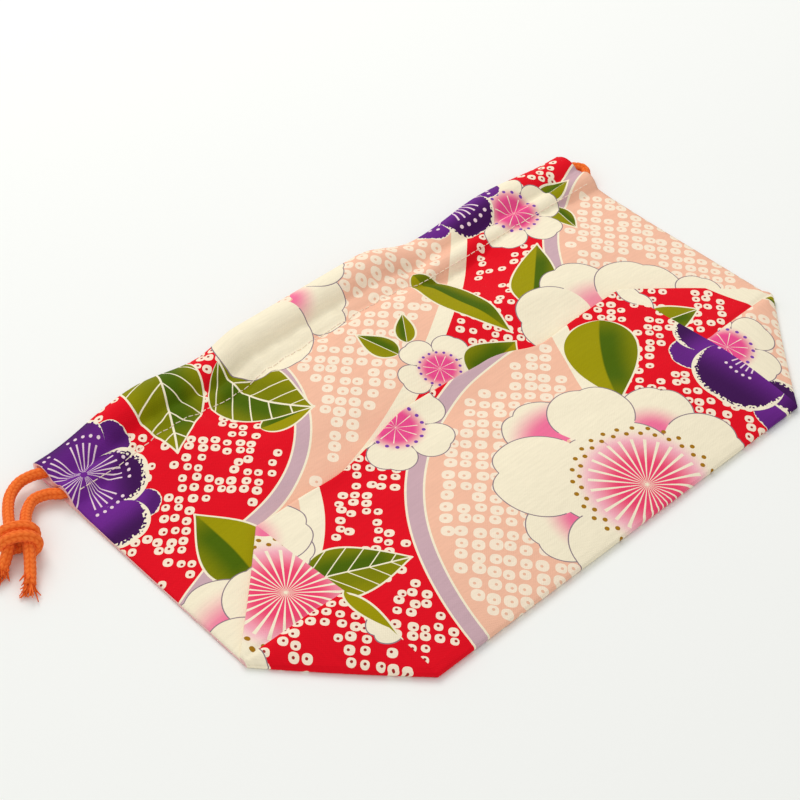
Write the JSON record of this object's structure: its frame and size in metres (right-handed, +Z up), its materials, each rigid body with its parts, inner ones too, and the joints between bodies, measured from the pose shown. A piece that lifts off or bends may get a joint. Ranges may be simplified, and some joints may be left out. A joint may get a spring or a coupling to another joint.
{
  "type": "bento bag",
  "caption": "Soft drawstring lunch bag of printed cotton with a boxed bottom, lying folded flat, with a knotted cord run through the stitched casing round its mouth.",
  "frame": {"origin": "on the table, at the centre of the folded bag's footprint, cord and knot not counted", "axes": "+X along the mouth from the knotted end of the cord to its looped end, +Y from the folded bottom to the mouth, +Z up from the table"},
  "size_m": [0.3474, 0.184, 0.0194],
  "materials": {
    "printed_cotton": "matte plain weave, printed",
    "orange_cord": "matte braided cotton"
  },
  "bodies": {
    "root": {"bag_body": "printed_cotton", "drawcord": "orange_cord", "drawcord_knot": "orange_cord"}
  },
  "joints": []
}
